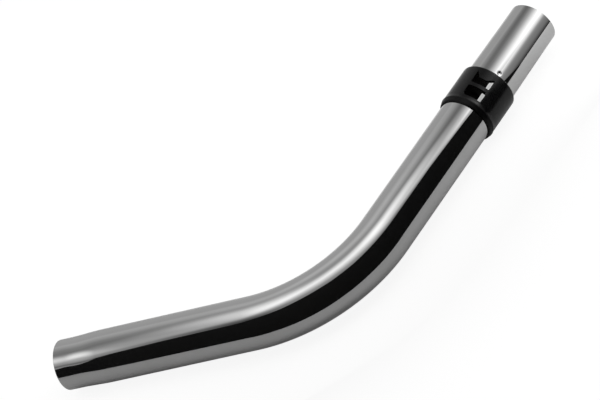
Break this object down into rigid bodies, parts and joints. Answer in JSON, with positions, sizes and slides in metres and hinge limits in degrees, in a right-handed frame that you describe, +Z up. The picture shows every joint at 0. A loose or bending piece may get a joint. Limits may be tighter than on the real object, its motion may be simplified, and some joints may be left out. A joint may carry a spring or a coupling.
{
  "type": "vacuum wand handle",
  "caption": "Bent chrome tube between a vacuum hose and an extension wand, with a black ring that turns over a suction hole to let in air.",
  "frame": {"origin": "centre of the wand mouth, on the axis of the lower leg", "axes": "+X along the lower leg toward the bend, +Y the side that the handle bends to, +Z up from the floor that the handle lies on"},
  "size_m": [0.2933, 0.2323, 0.0359],
  "materials": {
    "chrome_steel": "polished chrome plate",
    "black_plastic": "smooth moulded, half gloss"
  },
  "bodies": {
    "tube": {"bent_tube": "chrome_steel"},
    "regulator": {"regulator_ring": "black_plastic"}
  },
  "joints": [
    {"name": "regulator_turn", "type": "hinge", "parent": "tube", "child": "regulator", "pos_m": [0.25065, 0.14766, 0.00208], "axis": [0.4226, 0.9062, 0.0128], "continuous": true}
  ]
}
